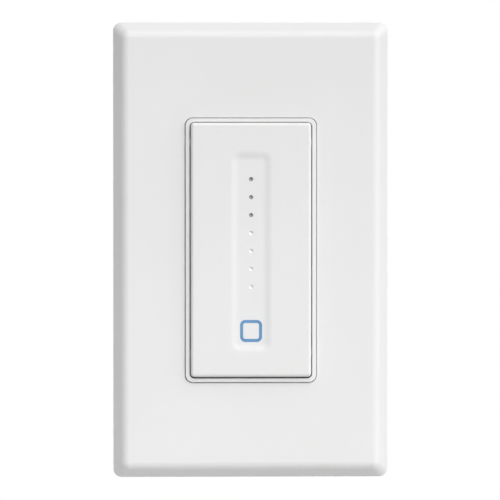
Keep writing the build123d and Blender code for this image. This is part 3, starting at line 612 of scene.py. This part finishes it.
def threaded_screw(name, z, outline, start, end, top, tip):
    """One screw along y at height z: its head and neck turned from outline, a real thread
    from start to end with a chamfered tip, and a slot cut across the top of the head."""
    mesh = bmesh.new()
    stops = [(y, [radius] * AROUND) for y, radius in outline if y <= start]
    count = round((end - start) / THREAD_PITCH * RINGS_PER_TURN)
    for i in range(count + 1):
        y = start + (end - start) * i / count
        stops.append((y, thread_radii(y, start, end)))
    stops += [(end + reach, [SCREW_RADIUS - reach] * AROUND) for reach in tip]
    rings = [ring_of(mesh, y, z, radii) for y, radii in stops]
    for near, far in zip(rings, rings[1:]):
        for i in range(AROUND):
            mesh.faces.new((near[i - 1], near[i], far[i], far[i - 1]))
    mesh.faces.new(rings[0])
    mesh.faces.new(list(reversed(rings[-1])))
    bmesh.ops.recalc_face_normals(mesh, faces=mesh.faces)
    screw = made(name, mesh)
    cutter = bmesh.new()
    bmesh.ops.create_cube(cutter, size=1.0)
    bmesh.ops.scale(cutter, vec=(SLOT_REACH * MM, 2 * SLOT_DEPTH * MM, SLOT_WIDTH * MM),
                    verts=cutter.verts)
    bmesh.ops.translate(cutter, vec=(0, top * MM, z * MM), verts=cutter.verts)
    blade = made(name + "_slot", cutter)
    cut = screw.modifiers.new("slot", "BOOLEAN")
    cut.operation = "DIFFERENCE"
    cut.object = blade
    settle(screw)
    bpy.data.objects.remove(blade)
    return screw


def long_screws(name, pitch, shape):
    """A pair of threaded screws below and above, in place of the node's plain shanks."""
    pair = [threaded_screw(f"{name}_{i}", z, **shape)
            for i, z in enumerate((-pitch / 2, pitch / 2))]
    screws = joined(name + "_threaded", pair)
    smooth_by_angle(screws)
    lay(screws, zinc)
    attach(screws, "device")
    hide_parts(name)


long_screws("box_screws", BOX_SCREW_PITCH, BOX_SCREW)
long_screws("plate_screws", PLATE_SCREW_PITCH, PLATE_SCREW)


def soft_floor():
    """A round pale floor a little below the switch, fading to white at its rim."""
    mesh = bmesh.new()
    bmesh.ops.create_circle(mesh, cap_ends=True, segments=96, radius=FLOOR_RADIUS)
    floor = made("floor", mesh)
    floor.location = (0, 0, FLOOR_LEVEL)
    paint = Paint("floor_white")
    far = paint.node("ShaderNodeVectorMath", {"operation": "LENGTH"},
                     {0: paint.place()}, "Value")
    near, edge = (FLOOR_RADIUS / MM * share for share in FLOOR_FADE)
    seen = paint.node("ShaderNodeLightPath", output="Is Camera Ray")
    matt = paint.node("ShaderNodeBsdfDiffuse", None, {"Color": FLOOR_PALE})
    bright = paint.node("ShaderNodeEmission", None, {"Color": PLAIN_WHITE, "Strength": 1.0})
    lay(floor, paint.show(paint.node("ShaderNodeMixShader", None,
                                     {0: far.ramp(near, edge) * seen, 1: matt, 2: bright})))


def surround():
    """Dim light from all round, which looks white to the camera, in gloss and in glass."""
    scene.world = bpy.data.worlds.new("studio")
    paint = Paint("studio", scene.world)
    camera, gloss, glass = (paint.node("ShaderNodeLightPath", output=f"Is {ray} Ray")
                            for ray in ("Camera", "Glossy", "Transmission"))
    dim, full = (paint.node("ShaderNodeBackground", None,
                            {"Color": PLAIN_WHITE, "Strength": strength})
                 for strength in (AMBIENT, 1.0))
    paint.show(paint.node("ShaderNodeMixShader", None,
                          {0: camera.at_least(gloss).at_least(glass), 1: dim, 2: full}))


def hang(lamp, source):
    """Hang a lamp so that it shines from the side that source gives."""
    hung = bpy.data.objects.new(lamp.name, lamp)
    hung.rotation_euler = Vector(source).to_track_quat("Z", "Y").to_euler()
    scene.collection.objects.link(hung)
    return hung


def lamps():
    """The gridded panel low in front, which lifts the foot of the plate, and the others."""
    panel = bpy.data.lights.new("front_low", "AREA")
    panel.shape = "RECTANGLE"
    panel.size, panel.size_y = FRONT_SIZE
    panel.spread = math.radians(FRONT_SPREAD)
    panel.energy = FRONT_POWER
    front = hang(panel, Vector(FRONT_PLACE) - Vector(FRONT_AIM))
    front.location = FRONT_PLACE
    front.visible_camera = False
    for name, source, strength, width in LAMPS:
        lamp = bpy.data.lights.new(name, "SUN")
        lamp.energy = strength
        lamp.angle = math.radians(width)
        hang(lamp, source)


def look():
    """The camera at the photograph's angle."""
    camera = bpy.data.objects.new("camera", bpy.data.cameras.new("camera"))
    scene.collection.objects.link(camera)
    scene.camera = camera
    camera.data.sensor_width = CAMERA_SENSOR
    camera.data.lens = CAMERA_LENS
    side, rise = math.radians(CAMERA_SIDE), math.radians(CAMERA_RISE)
    back = Vector((math.sin(side) * math.cos(rise), -math.cos(side) * math.cos(rise),
                   math.sin(rise)))
    camera.location = Vector(CAMERA_AIM) + CAMERA_AWAY * back
    camera.rotation_euler = back.to_track_quat("Z", "Y").to_euler()


soft_floor()
surround()
lamps()
look()
scene.view_settings.view_transform = "Standard"
